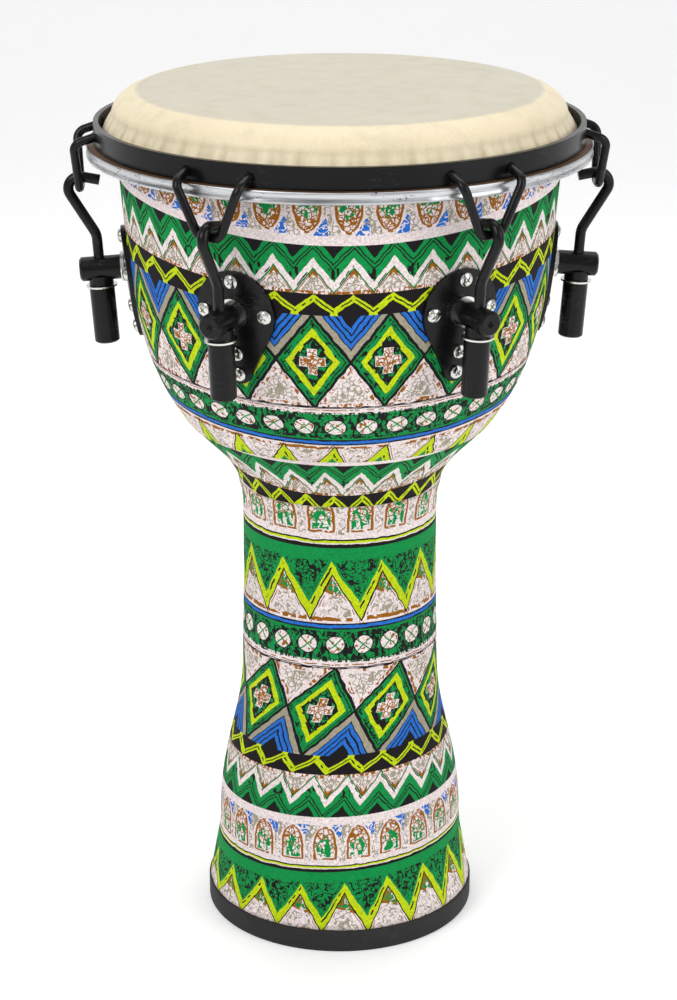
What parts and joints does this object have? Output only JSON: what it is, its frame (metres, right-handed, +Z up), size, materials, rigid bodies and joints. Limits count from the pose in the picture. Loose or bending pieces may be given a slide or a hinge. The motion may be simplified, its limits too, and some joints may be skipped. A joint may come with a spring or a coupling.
{
  "type": "djembe",
  "caption": "Goblet hand drum with a moulded shell in printed cloth, a skin held by a steel hoop, and hook bolts, yokes and barrel nuts that draw it tight.",
  "frame": {"origin": "on the floor at the shell's axis, the centre of the foot ring's underside", "axes": "+Z up along the shell's axis towards the skin; +X towards the first lug"},
  "size_m": [0.3156, 0.288, 0.508],
  "materials": {
    "fibreglass": "moulded, satin inside",
    "printed_cloth": "cotton cloth glued down under clear resin",
    "rubber": "matt moulded",
    "skin": "matt film with a printed disc",
    "channel_aluminium": "rolled, bare",
    "resin": "cast",
    "black_steel": "black, satin",
    "plated_steel": "nickel plated",
    "zinc_steel": "zinc plated"
  },
  "bodies": {
    "shell": {"shell": "fibreglass", "bowl_cover": "printed_cloth", "waist_cover": "printed_cloth", "foot_cover": "printed_cloth", "base_ring": "rubber", "drumhead": "skin", "lug_plate_1": "black_steel", "lug_plate_2": "black_steel", "lug_plate_3": "black_steel", "lug_plate_4": "black_steel", "lug_plate_5": "black_steel", "lug_plate_6": "black_steel", "lug_post_1": "black_steel", "lug_post_2": "black_steel", "lug_post_3": "black_steel", "lug_post_4": "black_steel", "lug_post_5": "black_steel", "lug_post_6": "black_steel", "post_rings": "plated_steel", "saddle_spacers": "black_steel", "plate_screws": "plated_steel", "screw_washers": "zinc_steel", "screw_nuts": "zinc_steel", "post_bolts": "zinc_steel", "post_washers": "zinc_steel"},
    "hoop": {"drumhead_collar": "skin", "counterhoop": "black_steel", "flesh_hoop": "channel_aluminium", "head_resin": "resin"},
    "yoke_1": {"yoke_1": "black_steel"},
    "hook_1": {"hook_bolt_1": "black_steel"},
    "nut_1": {"nut_washer_1": "plated_steel", "barrel_nut_1": "black_steel"},
    "yoke_2": {"yoke_2": "black_steel"},
    "hook_2": {"hook_bolt_2": "black_steel"},
    "nut_2": {"nut_washer_2": "plated_steel", "barrel_nut_2": "black_steel"},
    "yoke_3": {"yoke_3": "black_steel"},
    "hook_3": {"hook_bolt_3": "black_steel"},
    "nut_3": {"nut_washer_3": "plated_steel", "barrel_nut_3": "black_steel"},
    "yoke_4": {"yoke_4": "black_steel"},
    "hook_4": {"hook_bolt_4": "black_steel"},
    "nut_4": {"nut_washer_4": "plated_steel", "barrel_nut_4": "black_steel"},
    "yoke_5": {"yoke_5": "black_steel"},
    "hook_5": {"hook_bolt_5": "black_steel"},
    "nut_5": {"nut_washer_5": "plated_steel", "barrel_nut_5": "black_steel"},
    "yoke_6": {"yoke_6": "black_steel"},
    "hook_6": {"hook_bolt_6": "black_steel"},
    "nut_6": {"nut_washer_6": "plated_steel", "barrel_nut_6": "black_steel"}
  },
  "joints": [
    {"name": "hoop_draw", "type": "slide", "parent": "shell", "child": "hoop", "axis": [0, 0, 1], "range_m": [-0.002, 0.002], "deforming": ["drumhead_collar"]},
    {"name": "yoke_pivot_1", "type": "hinge", "parent": "hoop", "child": "yoke_1", "pos_m": [0.13669, 0, 0.4835], "axis": [0, 1, 0], "range_deg": [0, 3]},
    {"name": "yoke_pivot_2", "type": "hinge", "parent": "hoop", "child": "yoke_2", "pos_m": [0.06834, 0.11837, 0.4835], "axis": [-0.866, 0.5, 0], "range_deg": [0, 3]},
    {"name": "yoke_pivot_3", "type": "hinge", "parent": "hoop", "child": "yoke_3", "pos_m": [-0.06834, 0.11837, 0.4835], "axis": [-0.866, -0.5, 0], "range_deg": [0, 3]},
    {"name": "yoke_pivot_4", "type": "hinge", "parent": "hoop", "child": "yoke_4", "pos_m": [-0.13669, 0, 0.4835], "axis": [0, -1, 0], "range_deg": [0, 3]},
    {"name": "yoke_pivot_5", "type": "hinge", "parent": "hoop", "child": "yoke_5", "pos_m": [-0.06834, -0.11837, 0.4835], "axis": [0.866, -0.5, 0], "range_deg": [0, 3]},
    {"name": "yoke_pivot_6", "type": "hinge", "parent": "hoop", "child": "yoke_6", "pos_m": [0.06834, -0.11837, 0.4835], "axis": [0.866, 0.5, 0], "range_deg": [0, 3]},
    {"name": "nut_spin_1", "type": "hinge", "parent": "shell", "child": "nut_1", "pos_m": [0.13823, 0, 0.40331], "axis": [0.0698, 0, 0.9976], "range_deg": [0, 1081]},
    {"name": "nut_spin_2", "type": "hinge", "parent": "shell", "child": "nut_2", "pos_m": [0.06912, 0.11971, 0.40331], "axis": [0.0349, 0.0604, 0.9976], "range_deg": [0, 1081]},
    {"name": "nut_spin_3", "type": "hinge", "parent": "shell", "child": "nut_3", "pos_m": [-0.06912, 0.11971, 0.40331], "axis": [-0.0349, 0.0604, 0.9976], "range_deg": [0, 1081]},
    {"name": "nut_spin_4", "type": "hinge", "parent": "shell", "child": "nut_4", "pos_m": [-0.13823, 0, 0.40331], "axis": [-0.0698, 0, 0.9976], "range_deg": [0, 1081]},
    {"name": "nut_spin_5", "type": "hinge", "parent": "shell", "child": "nut_5", "pos_m": [-0.06912, -0.11971, 0.40331], "axis": [-0.0349, -0.0604, 0.9976], "range_deg": [0, 1081]},
    {"name": "nut_spin_6", "type": "hinge", "parent": "shell", "child": "nut_6", "pos_m": [0.06912, -0.11971, 0.40331], "axis": [0.0349, -0.0604, 0.9976], "range_deg": [0, 1081]},
    {"name": "hook_lift_1", "type": "slide", "parent": "hoop", "child": "hook_1", "axis": [0.0698, 0, 0.9976], "range_m": [0, 0.003]},
    {"name": "hook_lift_2", "type": "slide", "parent": "hoop", "child": "hook_2", "axis": [0.0349, 0.0604, 0.9976], "range_m": [0, 0.003]},
    {"name": "hook_lift_3", "type": "slide", "parent": "hoop", "child": "hook_3", "axis": [-0.0349, 0.0604, 0.9976], "range_m": [0, 0.003]},
    {"name": "hook_lift_4", "type": "slide", "parent": "hoop", "child": "hook_4", "axis": [-0.0698, 0, 0.9976], "range_m": [0, 0.003]},
    {"name": "hook_lift_5", "type": "slide", "parent": "hoop", "child": "hook_5", "axis": [-0.0349, -0.0604, 0.9976], "range_m": [0, 0.003]},
    {"name": "hook_lift_6", "type": "slide", "parent": "hoop", "child": "hook_6", "axis": [0.0349, -0.0604, 0.9976], "range_m": [0, 0.003]}
  ],
  "couplings": [
    {"joint": "nut_spin_1", "follows": "hook_lift_1", "rad_per_m": 6283.2},
    {"joint": "nut_spin_2", "follows": "hook_lift_2", "rad_per_m": 6283.2},
    {"joint": "nut_spin_3", "follows": "hook_lift_3", "rad_per_m": 6283.2},
    {"joint": "nut_spin_4", "follows": "hook_lift_4", "rad_per_m": 6283.2},
    {"joint": "nut_spin_5", "follows": "hook_lift_5", "rad_per_m": 6283.2},
    {"joint": "nut_spin_6", "follows": "hook_lift_6", "rad_per_m": 6283.2}
  ]
}
